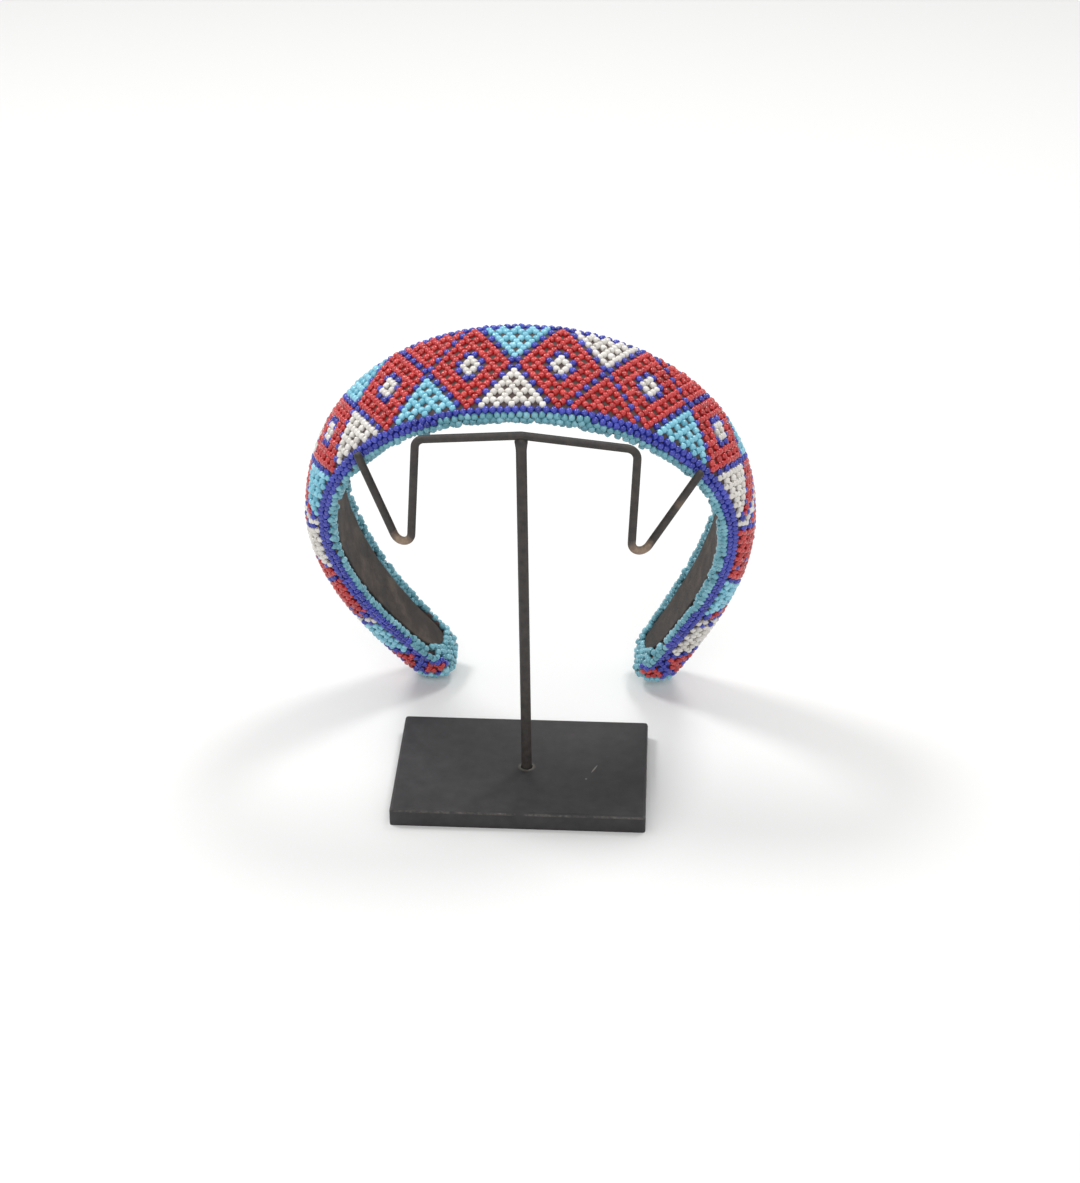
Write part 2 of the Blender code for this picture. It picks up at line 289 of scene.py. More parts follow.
def low_colour(i, j):
    """Colour of the bead at column i and row j below the second line."""
    if LAST_DIAMOND < abs(i) < SPOT[0] and abs(j) > FILL_ROW:
        return BLUE
    far = abs(abs(i) - LAST_DIAMOND) + abs(j)
    if far > SMALL_DIAMOND:
        return WHITE if 0 < i < LAST_DIAMOND else TURQUOISE
    return {1: WHITE, 2: BLUE, SMALL_DIAMOND: BLUE}.get(far, RED)


def net_colour(i, j):
    """Colour of the bead at column i and row j."""
    spot = spot_colour(i, j)
    if spot:
        return spot
    if abs(j) == (UPPER_ROWS if abs(i) < SECOND_LINE else LOWER_ROWS):
        return BLUE if abs(i) <= LAST_BLUE else TURQUOISE
    for line in (FIRST_LINE, SECOND_LINE):
        past = abs(i) - line
        if -0.5 <= past <= 1.5:
            return WHITE if 0 <= past <= 1 else BLUE
    if abs(i) > SECOND_LINE:
        return low_colour(i, j)
    centre = REPEAT * math.floor(i / REPEAT) + REPEAT // 2
    far = abs(i - centre) + abs(j)
    if far > DIAMOND:
        return TRIANGLES[round(i / REPEAT)][0 if j < 0 else 1]
    cut = abs(centre) in (FIRST_LINE, SECOND_LINE)
    return {1: RED if cut else WHITE, 2: RED if cut else BLUE, DIAMOND: BLUE}.get(far, RED)


def laced(i, j):
    """Whether the net has a bead at column i and row j."""
    return (i % 1 != 0) == (j % 1 != 0) and (i % 1 != 0 or (i + j) % 2 != 0)


def net_rows():
    """(i, j, u, v, colour) of every bead of the net and of the edging's long rows."""
    reach = int(CREST[-1] / HALF_CELL)
    found = []
    for step in range(-2 * reach, 2 * reach + 1):
        i = step / 2
        u = float(column_crest(i))
        if not END_MARGIN < u < CREST[-1] - END_MARGIN:
            continue
        half = float(half_arc(np.array([u]))[0])
        rows = UPPER_ROWS if abs(i) < SECOND_LINE else LOWER_ROWS
        front = float(np.interp(i, BORDER_COLUMNS, FRONT_BORDER))
        back = float(np.interp(i, BORDER_COLUMNS, BACK_BORDER))
        for k in range(round(4 * rows) + 1):
            j = k / 2 - rows
            if laced(i, j):
                arc = front - half + (j + rows) / (2 * rows) * (2 * half - front - back)
                v = arc / half if abs(arc) < half else math.copysign(1 + abs(arc) - half, arc)
                found.append((i, j, u, v, net_colour(i, j)))
        # Past the border lines the rows are closed up, and run over the rim and under the roll.
        for side, inset in ((-1, front), (1, back)):
            count = round((ROLL_REACH + inset) / ROW_APART)
            for m in range(1, count + 1):
                if (i % 1 == 0) != (m % 2 == 1):
                    continue
                past = (ROLL_REACH + inset) * m / count - inset
                v = 1 + (past / half if past < 0 else past)
                double = m == 1 and DOUBLE_FROM < abs(i) <= DOUBLE_TO
                spot = spot_colour(i, rows + m / 2) if m <= 2 else None
                colour = spot or (BLUE if double else EDGING)
                found.append((i, side * (rows + m / 2), u, side * v, colour))
    found.sort(key=lambda bead: (bead[4] == EDGING, abs(bead[0])))
    return found


# ---- beads as meshes --------------------------------------------------------------------------
BEAD_SIDES = 9
SIZE_SPREAD, SMALLEST, LARGEST = 0.025, 0.93, 1.06  # of the beads, as shares of the size above


def seed_bead():
    """One bead round its hole, which lies along X: (points, faces) in millimetres."""
    bm = bmesh.new()
    # From hole to hole: place along the bead, and radius, as shares of its length and width.
    profile = ((-0.26, 0.0), (-0.46, 0.22), (-0.5, 0.33), (-0.36, 0.46), (0.0, 0.5),
               (0.36, 0.46), (0.5, 0.33), (0.46, 0.22), (0.26, 0.0))
    line = [bm.verts.new((x * BEAD_LONG, 0, r * BEAD)) for x, r in profile]
    edges = [bm.edges.new(pair) for pair in zip(line, line[1:])]
    bmesh.ops.spin(bm, geom=line + edges, cent=(0, 0, 0), axis=(1, 0, 0), angle=2 * math.pi,
                   steps=BEAD_SIDES, use_merge=True)
    bmesh.ops.remove_doubles(bm, verts=bm.verts, dist=1e-4)
    bmesh.ops.recalc_face_normals(bm, faces=bm.faces)
    bm.verts.index_update()
    points = np.array([v.co for v in bm.verts])
    # The spin may number the same points differently from run to run, so they are sorted.
    order = sorted(range(len(points)), key=lambda k: tuple(points[k].round(4)))
    place = {k: rank for rank, k in enumerate(order)}
    faces = []
    for face in bm.faces:
        corners = [place[v.index] for v in face.verts]
        first = corners.index(min(corners))
        faces.append(corners[first:] + corners[:first])
    bm.free()
    return points[order], sorted(faces)


BEAD_POINTS, BEAD_FACES = seed_bead()


def string_beads(name, centres, holes, ups, tones):
    """One mesh of many beads, each with its hole along holes and its own tone from 0 to 1."""
    count, per = len(centres), len(BEAD_POINTS)
    x = holes / np.linalg.norm(holes, axis=1)[:, None]
    z = ups - (ups * x).sum(1)[:, None] * x
    z /= np.linalg.norm(z, axis=1)[:, None]
    turn = np.stack([x, np.cross(z, x), z], 2)
    size = RANDOM.normal(1, SIZE_SPREAD, (count, 1, 3)).clip(SMALLEST, LARGEST)
    points = np.einsum("nij,nkj->nki", turn, BEAD_POINTS[None] * size) + centres[:, None]
    corners = np.array([c for face in BEAD_FACES for c in face])
    totals = np.array([len(face) for face in BEAD_FACES])
    loops = (corners[None] + per * np.arange(count)[:, None]).ravel()
    starts = np.r_[0, np.cumsum(np.tile(totals, count))[:-1]]
    mesh = bpy.data.meshes.new(name)
    mesh.vertices.add(count * per)
    mesh.vertices.foreach_set("co", (points * MM).ravel())
    mesh.loops.add(len(loops))
    mesh.loops.foreach_set("vertex_index", loops.astype(np.int32))
    mesh.polygons.add(count * len(totals))
    mesh.polygons.foreach_set("loop_start", starts.astype(np.int32))
    tone = mesh.attributes.new("bead_tone", "FLOAT", "POINT")
    tone.data.foreach_set("value", np.repeat(tones, per).astype(np.float32))
    mesh.update(calc_edges=True)
    mesh.validate()
    mesh.shade_smooth()
    return mesh


def add_piece(name, mesh, material, slot, *nodes):
    """Links the mesh as a piece that rides on the body, and may stand for CAD nodes."""
    piece = bpy.data.objects.new(name, mesh)
    bpy.context.scene.collection.objects.link(piece)
    mesh.materials.clear()
    mesh.materials.append(material)
    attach(piece, "root")
    if nodes:
        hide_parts(*nodes)
    return piece


# ---- materials --------------------------------------------------------------------------------
def linear(code):
    """Linear colour from an sRGB hex value."""
    parts = [int(code[k:k + 2], 16) / 255 for k in (1, 3, 5)]
    return (*[c / 12.92 if c <= 0.04045 else ((c + 0.055) / 1.055) ** 2.4 for c in parts], 1.0)


def add_node(tree, kind, inputs=(), **settings):
    """One node with its settings; inputs maps a socket to a value or to another node's output."""
    made = tree.nodes.new(kind)
    for key, value in settings.items():
        setattr(made, key, value)
    for socket, value in dict(inputs).items():
        if isinstance(value, bpy.types.NodeSocket):
            tree.links.new(value, made.inputs[socket])
        else:
            made.inputs[socket].default_value = value
    return made


def new_material(name, **sockets):
    """A material with a Principled shader whose constant sockets are set on it."""
    made = bpy.data.materials.new(name)
    made.use_nodes = True
    shader = made.node_tree.nodes["Principled BSDF"]
    for key, value in sockets.items():
        shader.inputs[key.replace("_", " ")].default_value = value
    return made.node_tree, shader, made


def mixed(tree, share, first, second, blend="MIX"):
    """Output of a colour mix: share is an output, the colours are values or outputs."""
    return add_node(tree, "ShaderNodeMix", {"Factor": share, 6: first, 7: second},
                    data_type="RGBA", blend_type=blend).outputs[2]


def glass_bead(name, dark, main, light, roughness=0.16):
    """Opaque drawn and tumbled glass: a clean gloss over solid colour, each bead a touch
    different in tone, with dust dulling the gloss in patches."""
    tree, shader, made = new_material(name, IOR=1.52, Coat_Weight=0.25, Coat_Roughness=0.06)
    tone = add_node(tree, "ShaderNodeAttribute", attribute_name="bead_tone")
    ramp = add_node(tree, "ShaderNodeValToRGB", {"Fac": tone.outputs["Fac"]})
    stops = ramp.color_ramp.elements
    stops[0].color, stops[1].color = linear(dark), linear(light)
    stops.new(0.5).color = linear(main)
    place = add_node(tree, "ShaderNodeTexCoord")
    dust = add_node(tree, "ShaderNodeTexNoise", {
        "Vector": place.outputs["Object"], "Scale": 420.0, "Detail": 3.0})
    gloss = add_node(tree, "ShaderNodeMapRange", {
        "Value": dust.outputs["Fac"], "From Min": 0.3, "From Max": 0.75,
        "To Min": roughness - 0.05, "To Max": roughness + 0.16})
    tree.links.new(ramp.outputs["Color"], shader.inputs["Base Color"])
    tree.links.new(gloss.outputs["Result"], shader.inputs["Roughness"])
    return made


def cotton_cover():
    """Dark brushed cotton drawn tight over the padding: matt, seen only through the net."""
    tree, shader, made = new_material("dark_cotton_cover", Roughness=0.9, Sheen_Weight=0.15,
                                      Sheen_Roughness=0.5)
    where = add_node(tree, "ShaderNodeTexCoord").outputs["Object"]
    patch = add_node(tree, "ShaderNodeTexNoise", {"Vector": where, "Scale": 160.0, "Detail": 4.0})
    colour = mixed(tree, patch.outputs["Fac"], linear("#403432"), linear("#5b4a46"))
    weave = add_node(tree, "ShaderNodeTexNoise", {"Vector": where, "Scale": 1800.0, "Detail": 2.0})
    bump = add_node(tree, "ShaderNodeBump", {
        "Height": weave.outputs["Fac"], "Strength": 0.5, "Distance": 0.0002})
    tree.links.new(colour, shader.inputs["Base Color"])
    tree.links.new(bump.outputs["Normal"], shader.inputs["Normal"])
    return made


def wool_felt():
    """Pressed wool felt, brown grey: no shine, tangled fibres about 0.1 mm thick that show as
    fine relief, and uneven dye a few millimetres across."""
    tree, shader, made = new_material("wool_felt", Roughness=0.96, Sheen_Weight=0.07,
                                      Sheen_Roughness=0.6)
    where = add_node(tree, "ShaderNodeTexCoord").outputs["Object"]
    dye = add_node(tree, "ShaderNodeTexNoise", {
        "Vector": where, "Scale": 130.0, "Detail": 5.0, "Roughness": 0.62})
    colour = add_node(tree, "ShaderNodeValToRGB", {"Fac": dye.outputs["Fac"]})
    ends = colour.color_ramp.elements
    ends[0].position, ends[0].color = 0.34, linear("#2a2523")
    ends[1].position, ends[1].color = 0.68, linear("#5c5149")
    ends.new(0.52).color = linear("#403733")
    fibre = add_node(tree, "ShaderNodeTexNoise", {
        "Vector": where, "Scale": 900.0, "Detail": 6.0, "Roughness": 0.7, "Distortion": 1.2})
    fleck = mixed(tree, fibre.outputs["Fac"], colour.outputs["Color"], linear("#7d6f5c"),
                  "SOFT_LIGHT")
    bump = add_node(tree, "ShaderNodeBump", {
        "Height": fibre.outputs["Fac"], "Strength": 0.75, "Distance": 0.0005})
    tree.links.new(fleck, shader.inputs["Base Color"])
    tree.links.new(bump.outputs["Normal"], shader.inputs["Normal"])
    return made


# Paint, dark and light, bare metal, dark and light, and the scale of the paint's mottling.
PLATE_PAINT = ("#232223", "#363435", "#4f4741", "#817d78", 210.0)
WIRE_PAINT = ("#292624", "#413c39", "#6a5646", "#a08b78", 420.0)
# Middle, half size, turn and strength: the ring round the post, a hair scratch and a fleck.
PLATE_MARKS = (
    ((1.7, -1.0), (3.0, 3.0), 0.0, 0.8),
    ((24.7, -1.3), (0.3, 2.7), math.radians(-23), 1.0),
    ((22.1, -7.3), (0.4, 0.5), 0.0, 0.8),
)
# Middle, reach and strength: the bottoms of the two hooks, and rubbed spots on the right arm.
WIRE_MARKS = (
    (BENDS[0], 4.0, 1.0),
    (BENDS[4], 4.7, 1.0),
    ((51.5, 6.4, 105.7), 2.3, 0.6),
    ((34.2, 0.0, 112.0), 2.0, 0.25),
)


def fading(tree, distance, near, far, strength):
    """Output that is strength up to the distance near and nothing from far on."""
    return add_node(tree, "ShaderNodeMapRange", {
        "Value": distance.outputs["Value"], "From Min": near, "From Max": far,
        "To Min": strength, "To Max": 0.0}).outputs["Result"]


def bevel_chips_and_highlight(tree, where):
    """Output that is above nothing where the plate's bevels are lighter: paint chipped off, and a
    painted highlight along the bevels.
    """
    normal = add_node(tree, "ShaderNodeNewGeometry")
    facing = add_node(tree, "ShaderNodeSeparateXYZ", {"Vector": normal.outputs["Normal"]})
    steep = add_node(tree, "ShaderNodeMath", {0: facing.outputs["Z"]}, operation="ABSOLUTE")
    bevel = add_node(tree, "ShaderNodeMath", {0: steep.outputs["Value"], 1: 0.6, 2: 0.32},
                     operation="COMPARE")
    chip = add_node(tree, "ShaderNodeTexNoise", {
        "Vector": where, "Scale": 190.0, "Detail": 9.0, "Roughness": 0.8})
    lost = add_node(tree, "ShaderNodeMapRange", {
        "Value": chip.outputs["Fac"], "From Min": 0.42, "From Max": 0.66, "To Max": 0.7})
    return add_node(tree, "ShaderNodeMath", {0: bevel.outputs["Value"], 1: lost.outputs["Result"]},
                    operation="MULTIPLY").outputs["Value"]


def plate_marks(tree, where, _):
    marks = [bevel_chips_and_highlight(tree, where)]
    for (x, y), (width, depth), turn, strength in PLATE_MARKS:
        local = add_node(tree, "ShaderNodeMapping", {
            "Vector": where, "Location": (x * MM, y * MM, 0), "Rotation": (0, 0, turn),
            "Scale": (width * MM, depth * MM, 1.0)}, vector_type="TEXTURE")
        far = add_node(tree, "ShaderNodeVectorMath", {0: local.outputs["Vector"]},
                       operation="LENGTH")
        marks.append(fading(tree, far, 0.7, 1.05, strength))
    return marks


def wire_marks(tree, where, mottle):
    """Marks whose borders are ragged with the paint's mottling."""
    marks = []
    for spot, reach, strength in WIRE_MARKS:
        away = add_node(tree, "ShaderNodeVectorMath", {0: where, 1: tuple(x * MM for x in spot)},
                        operation="DISTANCE")
        ragged = add_node(tree, "ShaderNodeMath", {0: mottle, 1: 0.005, 2: away.outputs["Value"]},
                          operation="MULTIPLY_ADD")
        marks.append(fading(tree, ragged, (reach + 0.8) * MM, (reach + 3.4) * MM, strength))
    return marks


def painted_steel(name, paint, find_marks):
    """Mild steel under matt black paint: a dry, faintly mottled film that has rubbed thin on
    edges and handled spots, where warm bare metal shows. On the plate's bevels that lighter
    colour is also a painted highlight."""
    dark, light, bare_dark, bare_light, scale = paint
    tree, shader, made = new_material(name, Specular_IOR_Level=0.42)
    where = add_node(tree, "ShaderNodeTexCoord").outputs["Object"]
    noise = add_node(tree, "ShaderNodeTexNoise", {
        "Vector": where, "Scale": scale, "Detail": 5.0, "Roughness": 0.6})
    mottle = noise.outputs["Fac"]
    film = add_node(tree, "ShaderNodeValToRGB", {"Fac": mottle})
    ends = film.color_ramp.elements
    ends[0].position, ends[0].color = 0.3, linear(dark)
    ends[1].position, ends[1].color = 0.72, linear(light)
    grit = add_node(tree, "ShaderNodeTexNoise", {"Vector": where, "Scale": 1500.0, "Detail": 4.0})
    # On the plate these marks include the bevels' painted highlight as well as the worn paint.
    wear, *others = find_marks(tree, where, mottle)
    for mark in others:
        wear = add_node(tree, "ShaderNodeMath", {0: wear, 1: mark},
                        operation="MAXIMUM").outputs["Value"]
    bare = mixed(tree, grit.outputs["Fac"], linear(bare_dark), linear(bare_light))
    colour = mixed(tree, wear, film.outputs["Color"], bare)
    rough = add_node(tree, "ShaderNodeMapRange", {
        "Value": mottle, "To Min": 0.44, "To Max": 0.66})
    bump = add_node(tree, "ShaderNodeBump", {
        "Height": grit.outputs["Fac"], "Strength": 0.25, "Distance": 0.0001})
    tree.links.new(colour, shader.inputs["Base Color"])
    tree.links.new(rough.outputs["Result"], shader.inputs["Roughness"])
    tree.links.new(bump.outputs["Normal"], shader.inputs["Normal"])
    return made


BEAD_GLASS = {
    RED: glass_bead("red_glass", "#9c1c1c", "#b82929", "#cd4340"),
    BLUE: glass_bead("ultramarine_glass", "#222c86", "#3039a2", "#4850bd", 0.13),
    TURQUOISE: glass_bead("turquoise_glass", "#58a2b8", "#7abdd1", "#9cd6e6"),
    WHITE: glass_bead("ivory_glass", "#c4c0b9", "#d6d2cc", "#e6e3df"),
    # The edging's glass is the net's turquoise made darker and duller: painted shade on the beads
    # round the rim.
    EDGING: glass_bead("turquoise_glass_edging_painted_shade", "#4c8796", "#69a5b4", "#8fc6d4"),
}


# ---- padding, edging roll and lining ----------------------------------------------------------
def lofted(name, steps, turns, shape, flat_ends):
    """A closed skin: a grid whose x runs along the piece and whose y runs round its section."""
    bm = bmesh.new()
    bmesh.ops.create_grid(bm, x_segments=steps, y_segments=turns, size=1.0)
    grid = np.array([v.co for v in bm.verts])
    points = shape((grid[:, 0] + 1) / 2, (grid[:, 1] + 1) / 2)
    for v, point in zip(bm.verts, points):
        v.co = Vector(point) * MM
    bmesh.ops.remove_doubles(bm, verts=bm.verts, dist=1e-6)
    if flat_ends:
        bmesh.ops.holes_fill(bm, edges=[e for e in bm.edges if e.is_boundary], sides=0)
    bmesh.ops.recalc_face_normals(bm, faces=bm.faces)
    mesh = bpy.data.meshes.new(name)
    bm.to_mesh(mesh)
    bm.free()
    mesh.shade_smooth()
    return mesh


PADDING_INSET = BEAD / 2 + 0.15  # of the skin from the net's outside
PADDING_FOOT = 0.4  # how far the underside reaches in under the edging
PADDING_LOW = LINING_THICK + 0.25  # height of the underside, just over the felt


def padding_section(along, round_it):
    """The padding's skin, just under the beads' middles, and its flat underside."""
    s = START + PADDING_INSET + along * (STOP - START - 2 * PADDING_INSET)
    w, n = dome(s, PADDING_INSET, ARC_STEPS)
    foot = np.minimum(at(HALF_WIDTH, s) - 2 * at(EDGING_RADIUS, s) + PADDING_FOOT, w[:, 0])
    low = np.full(len(s), PADDING_LOW)
    w = np.column_stack([foot, w, -foot, foot])
    n = np.column_stack([low, n, low, low])
    run = np.cumsum(np.hypot(np.diff(w), np.diff(n)), axis=1)
    run = np.column_stack([np.zeros(len(s)), run])
    wave = 0.1 * np.sin(s * 0.55) * np.sin(s * 0.23 + 1)
    out = np.empty((len(s), 2))
    for k in range(len(s)):
        here = round_it[k] * run[k, -1]
        out[k] = np.interp(here, run[k], w[k]), np.interp(here, run[k], n[k])
    return placed(s, out[:, 0], out[:, 1] + np.where(out[:, 1] > 3, wave, 0))


def end_line(right):
    """The edging's centre line round one end, front to back: (s, w, outward in s, in w)."""
    radius = EDGING_RADIUS[0]
    half_end = HALF_WIDTH[0] + EDGING_OUT - radius
    tip = STOP - radius
    corner = min(half_end, END_ROUND - radius) - 0.2
    a = np.linspace(0.25, math.pi / 2, 12)
    turn = np.column_stack([tip - corner + corner * np.sin(a),
                            half_end - corner + corner * np.cos(a), np.sin(a), np.cos(a)])
    line = np.vstack([turn, [(tip, 0, 1, 0)], turn[::-1] * (1, -1, 1, -1)])
    return line if right else line * (-1, 1, -1, 1) + (START + STOP, 0, 0, 0)


def around_loop():
    """The whole centre line with its running length: front run, right end, back run, left end."""
    side = np.linspace(START + END_ROUND, STOP - END_ROUND, 260)
    front = np.column_stack([side, edging_line(side), 0 * side, 1 + 0 * side])
    line = np.vstack([front, end_line(True), front[::-1] * (1, -1, 1, -1), end_line(False)[::-1]])
    line = np.vstack([line, line[:1]])
    spots = placed(line[:, 0], line[:, 1], at(EDGING_RADIUS, line[:, 0]) - EDGING_PROUD)
    return line, np.r_[0, np.cumsum(np.linalg.norm(np.diff(spots, axis=0), axis=1))]


LOOP, LOOP_RUN = around_loop()


def loop_at(length):
    """(s, w, outward in s, in w) at a length along the whole centre line."""
    return [np.interp(length, LOOP_RUN, LOOP[:, k]) for k in range(4)]


def roll_section(along, round_it):
    """The dark roll that the edging is sewn over: a tall rounded section, closed on itself."""
    s, w, ds, dw = loop_at((along % 1.0) * LOOP_RUN[-1])
    radius = at(EDGING_RADIUS, s)
    low, high = radius - EDGING_PROUD - 0.75, edge_height(s) - 0.5
    a = 2 * math.pi * round_it
    q = 0.1 + 0.78 * np.cos(a)
    n = (low + high) / 2 + (high - low) / 2 * np.sin(a)
    return placed(s + q * ds, w + q * dw, n)


LINING_INSET = 9.0  # of the felt's tips from the hoop's ends
FRONT_CORNER, BACK_CORNER = 13.0, 5.0  # how far from its tips the felt is still narrowing


def lining_edges(s):
    """The felt's front and back edges, whose tips lie nearer the back."""
    half = at(HALF_WIDTH, s) - 2 * at(EDGING_RADIUS, s) - 0.1
    d = np.minimum(s - START, STOP - s) - LINING_INSET
    front, back = (np.sqrt(1 - (1 - np.clip(d / corner, 0, 1)) ** 2)
                   for corner in (FRONT_CORNER, BACK_CORNER))
    return half * (1.5 * front - 0.5), -half * (0.5 + 0.5 * back)


def lining_section(along, round_it):
    """The felt strip, its face towards the head a little uneven from glue and wear."""
    s = START + LINING_INSET + along * (STOP - START - 2 * LINING_INSET)
    front, back = lining_edges(s)
    # Over the face from the front edge to the back one for a up to 2, and back underneath.
    a = 4 * (round_it % 1.0)
    face = a < 2
    x = np.where(face, 1 - a, a - 3)
    edge = 1 - np.clip((np.abs(x) - 0.94) / 0.06, 0, 1) ** 2
    rounding = 0.3 * (1 - edge)
    wave = 0.12 * (np.sin(s * 0.21) * np.cos(x * 2.3) + np.sin(s * 0.47 + 3 * x))
    n = np.where(face, 0.12 + rounding + 0.5 * wave * edge, LINING_THICK - rounding)
    return placed(s, (front + back) / 2 + x * (front - back) / 2, n)


padding = add_piece("padding", lofted("padding", 300, 60, padding_section, True), cotton_cover(),
                    "padding", "padded_core")
add_piece("edging_roll", lofted("edging_roll", 520, 14, roll_section, False),
          padding.data.materials[0], "padding")
felt = add_piece("lining_felt", lofted("lining_felt", 360, 64, lining_section, True), wool_felt(),
                 "felt_lining", "lining")
felt_run = np.linspace(START + LINING_INSET, STOP - LINING_INSET, 400)
felt_width = np.subtract(*lining_edges(felt_run))


# ---- stringing the beads ----------------------------------------------------------------------
END_ROWS, END_FROM = 4, 0.6  # rows round an end, and how far inside the rim they begin
END_APART = 0.12  # between the beads of such a row
TURNED_ROWS, TURNED_FROM = 14, 2.8  # rows inside an end, and the first one's distance from it
TURNED_APART = 2.25  # from bead to bead in such a row
TURNED_PAST = 1.4  # how far these rows reach in under the edging
FELT_UNDER = 0.7  # how far the beads overlap the felt's edge
TURNED_HIGH = 0.15
CELL_SIDE = (0.62, 0.78)  # direction of a cell's side, along and across
JITTER, LARGEST_JITTER, HOLE_JITTER = 0.07, 0.15, 0.12
TONE_SPREAD = 0.17
BEAD_CLEAR = 1.6  # least distance between the middles of two beads


def net_frames(u, v):
    """Centre, direction along, direction across and outward direction of each bead."""
    step = 0.25
    centre = net_point(u, v)
    along = net_point(u + step, v) - net_point(u - step, v)
    half = half_arc(u)
    dv = np.where(np.abs(v) > 1.05, step, step / half)
    across = net_point(u, v + dv) - net_point(u, v - dv)
    out = np.cross(along, across)
    out /= np.linalg.norm(out, axis=1)[:, None] + 1e-12
    middle = placed(ALONG[-1] / 2, 0, -60)
    return centre, along, across, out * np.sign(((centre - middle) * out).sum(1))[:, None]


def rim_spots(line, past):
    """World points beside the edging's centre line, past being the length past the rim."""
    q, n = roll_point(line[:, 0], past)
    return placed(line[:, 0] + q * line[:, 2], line[:, 1] + q * line[:, 3], n)


def end_beads():
    """(centres, directions along, outward directions, colours) of the rows round the two ends."""
    found = []
    for right in (True, False):
        line = end_line(right)
        for m in range(1, END_ROWS + 1):
            past = (ROLL_REACH + END_FROM) * m / END_ROWS - END_FROM
            spots = rim_spots(line, past)
            run = np.r_[0, np.cumsum(np.linalg.norm(np.diff(spots, axis=0), axis=1))]
            count = round(run[-1] / (BEAD + END_APART))
            for k in range(count + 1):
                length = run[-1] * (k + 0.5 * (m % 2)) / count
                if length > run[-1]:
                    continue
                here, after, before = (
                    np.array([[np.interp(length + step, run, line[:, c]) for c in range(4)]])
                    for step in (0, 0.2, -0.2))
                centre = rim_spots(here, past)[0]
                along = rim_spots(after, past)[0] - rim_spots(before, past)[0]
                core = placed(here[0, 0], here[0, 1],
                              at(EDGING_RADIUS, here[0, 0]) - EDGING_PROUD)
                found.append((centre, along, centre - core, EDGING))
    return found


def turned_in_beads():
    """Beads that close the inside of each end, between the edging and the felt's narrow tips."""
    found = []
    for right in (True, False):
        for row in range(TURNED_ROWS):
            depth = TURNED_FROM + ROW_APART * row
            s = STOP - depth if right else START + depth
            half = float(at(HALF_WIDTH, s) - 2 * at(EDGING_RADIUS, s)) + TURNED_PAST
            front, back = (float(e) for e in lining_edges(np.array(s)))
            for k in range(-6, 7):
                w = TURNED_APART * (k + 0.5 * (row % 2))
                on_felt = (depth > LINING_INSET - FELT_UNDER
                           and back - FELT_UNDER < w < front + FELT_UNDER)
                if abs(w) < half and not on_felt:
                    centre = placed(s, w, TURNED_HIGH)
                    found.append((centre, placed(s, w + 0.3, TURNED_HIGH) - centre,
                                  placed(s, w, -1.0) - centre, EDGING))
    return found


def all_beads():
    """(centres, hole directions, outward directions, colours) of the net, edging and ends."""
    beads = net_rows()
    i, j, u, v = (np.array([b[k] for b in beads], float) for k in range(4))
    colour = np.array([b[4] for b in beads])
    s = np.interp(u, CREST, RUN)
    # Past the rim, rows along the hoop stop where the rounded ends begin.
    straight = (np.abs(v) <= 1) | ((s > START + END_ROUND) & (s < STOP - END_ROUND))
    i, j, u, v, colour = (row[straight] for row in (i, j, u, v, colour))
    centre, along, across, out = net_frames(u, v)
    along /= np.linalg.norm(along, axis=1)[:, None]
    across /= np.linalg.norm(across, axis=1)[:, None]
    # A shared bead lies along the band; a side bead lies along its side of the cell.
    side = i % 1 != 0
    rise = np.where((i + j) % 2 == 0, 1.0, -1.0)
    slanted = along * CELL_SIDE[0] + across * rise[:, None] * CELL_SIDE[1]
    hole = np.where(side[:, None], slanted, along)
    more = end_beads() + turned_in_beads()
    centre = np.vstack([centre, [bead[0] for bead in more]])
    hole = np.vstack([hole, [bead[1] / np.linalg.norm(bead[1]) for bead in more]])
    out = np.vstack([out, [bead[2] / np.linalg.norm(bead[2]) for bead in more]])
    return centre, hole, out, np.r_[colour, [bead[3] for bead in more]]


def clear_beads(centre):
    """Indices of the beads that keep clear of all that come before them."""
    kept, seen = [], {}
    for k, point in enumerate(centre):
        x, y, z = (int(c) for c in np.floor(point / BEAD_CLEAR))
        near = [m for dx in (-1, 0, 1) for dy in (-1, 0, 1) for dz in (-1, 0, 1)
                for m in seen.get((x + dx, y + dy, z + dz), ())]
        if any(np.linalg.norm(centre[m] - point) < BEAD_CLEAR for m in near):
            continue
        seen.setdefault((x, y, z), []).append(k)
        kept.append(k)
    return np.array(kept)


def string_net():
    """Makes a piece of each colour of the net, and one of the edging."""
    centre, hole, out, colour = all_beads()
    # The edging is whipped over the rim by hand, and lies less evenly than the net.
    loose = np.where(colour == EDGING, 2.0, 1.0)[:, None]
    shift = RANDOM.normal(0, JITTER, centre.shape).clip(-LARGEST_JITTER, LARGEST_JITTER)
    centre += shift * loose
    hole += RANDOM.normal(0, HOLE_JITTER, hole.shape) * loose
    tones = RANDOM.normal(0.5, TONE_SPREAD, len(centre)).clip(0, 1)
    kept = clear_beads(centre)
    for name in (RED, BLUE, TURQUOISE, WHITE, EDGING):
        mine = kept[colour[kept] == name]
        mesh = string_beads("beads_" + name, centre[mine], hole[mine], out[mine], tones[mine])
        if name == EDGING:
            add_piece("beads_edging", mesh, BEAD_GLASS[name], "edging_beads", "beaded_edging")
        else:
            add_piece("beads_" + name, mesh, BEAD_GLASS[name], "net_beads", "beaded_cover")


string_net()


